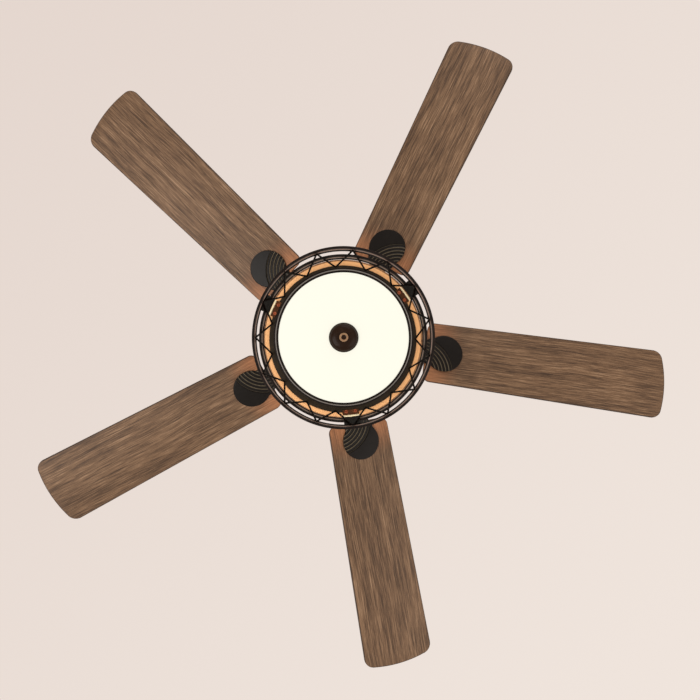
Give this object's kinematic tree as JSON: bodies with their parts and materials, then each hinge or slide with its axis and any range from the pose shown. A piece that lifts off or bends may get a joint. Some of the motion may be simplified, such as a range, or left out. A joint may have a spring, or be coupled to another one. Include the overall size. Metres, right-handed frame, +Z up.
{
  "type": "ceiling fan with light",
  "caption": "Downrod ceiling fan with plank blades on round-plate irons and a frosted drum light inside a tapered metal lattice cage.",
  "frame": {"origin": "centre of the ceiling face of the hanger bracket, midway between the two ceiling screws", "axes": "+Z up into the ceiling along the fan's axis, +X along the line of the two ceiling screws"},
  "size_m": [1.2592, 1.2655, 0.4662],
  "materials": {
    "dark_bronze": "oil-rubbed bronze, satin, faint brown rub-through",
    "cage_bronze": "oil-rubbed bronze, semi-gloss edges",
    "warm_flange": "warm copper-bronze reflector face, satin",
    "lug_brown": "brown bronze, semi-gloss",
    "brass_screw": "polished screw heads",
    "zinc_steel": "zinc plated, fine grain",
    "bright_steel": "ground",
    "cast_shell": "die cast, matt",
    "lamination": "stacked sheet edges",
    "copper_wire": "enamelled copper wire",
    "nylon": "moulded",
    "black_plastic": "fine moulded grain",
    "white_plastic": "moulded",
    "porcelain": "unglazed",
    "lamp_glass": "frosted, lit from inside",
    "frosted_glass": "opal frosted glass, lit from inside",
    "gasket_rubber": "moulded",
    "finial_bronze": "oil-rubbed bronze with a brown highlight",
    "iron_bronze": "dark cast bronze with rubbed ribs",
    "blade_wood": "weathered grey-brown plank, fine lengthwise grain"
  },
  "bodies": {
    "ceiling_mount": {"hanger_bracket": "zinc_steel", "canopy": "dark_bronze", "canopy_screws": "dark_bronze", "receiver_box": "black_plastic"},
    "hanging_fan": {"hanger_ball": "nylon", "ball_pin": "zinc_steel", "downrod": "dark_bronze", "coupling_cover": "dark_bronze", "motor_collar": "cast_shell", "coupling_pin": "zinc_steel", "coupling_clip": "zinc_steel", "motor_shaft": "bright_steel", "upper_bearing": "bright_steel", "lower_bearing": "bright_steel", "stator_core": "lamination", "stator_windings": "copper_wire", "motor_housing": "dark_bronze", "housing_screws": "zinc_steel", "switch_plate": "zinc_steel", "switch_housing": "dark_bronze", "capacitor": "black_plastic", "reverse_switch": "black_plastic", "kit_pan": "dark_bronze", "lampholders": "porcelain", "bulb_caps": "zinc_steel", "bulbs": "lamp_glass", "drum_gasket": "gasket_rubber", "glass_drum": "frosted_glass", "diffuser": "frosted_glass", "shade_rim": "dark_bronze", "centre_rod": "zinc_steel", "finial_washer": "gasket_rubber", "kit_arms": "dark_bronze", "kit_flange": "warm_flange", "cage_top_ring": "cage_bronze", "cage_upper_band": "cage_bronze", "cage_lower_band": "cage_bronze", "cage_bridges": "cage_bronze", "cage_lattice": "cage_bronze", "arm_lugs": "lug_brown", "lug_screws": "brass_screw"},
    "rotor": {"rotor_top_shell": "cast_shell", "rotor_bottom_shell": "cast_shell", "rotor_ring": "lamination", "shell_screws": "zinc_steel", "flywheel": "gasket_rubber", "blade_iron_1": "iron_bronze", "blade_iron_2": "iron_bronze", "blade_iron_3": "iron_bronze", "blade_iron_4": "iron_bronze", "blade_iron_5": "iron_bronze", "iron_screws": "zinc_steel", "blade_1": "blade_wood", "blade_2": "blade_wood", "blade_3": "blade_wood", "blade_4": "blade_wood", "blade_5": "blade_wood", "blade_screws": "dark_bronze"},
    "finial": {"finial": "finial_bronze"},
    "reverse_knob": {"reverse_knob": "white_plastic"}
  },
  "joints": [
    {"name": "hanger_swing", "type": "hinge", "parent": "ceiling_mount", "child": "hanging_fan", "pos_m": [0, 0, -0.044], "axis": [1, 0, 0], "range_deg": [-15, 15]},
    {"name": "fan_spin", "type": "hinge", "parent": "hanging_fan", "child": "rotor", "pos_m": [0, 0, -0.213], "axis": [0, 0, 1], "continuous": true},
    {"name": "finial_turn", "type": "hinge", "parent": "hanging_fan", "child": "finial", "pos_m": [0, 0, -0.455], "axis": [0, 0, 1], "continuous": true},
    {"name": "reverse_slide", "type": "slide", "parent": "hanging_fan", "child": "reverse_knob", "axis": [1, 0, 0], "range_m": [0, 0.006]}
  ]
}
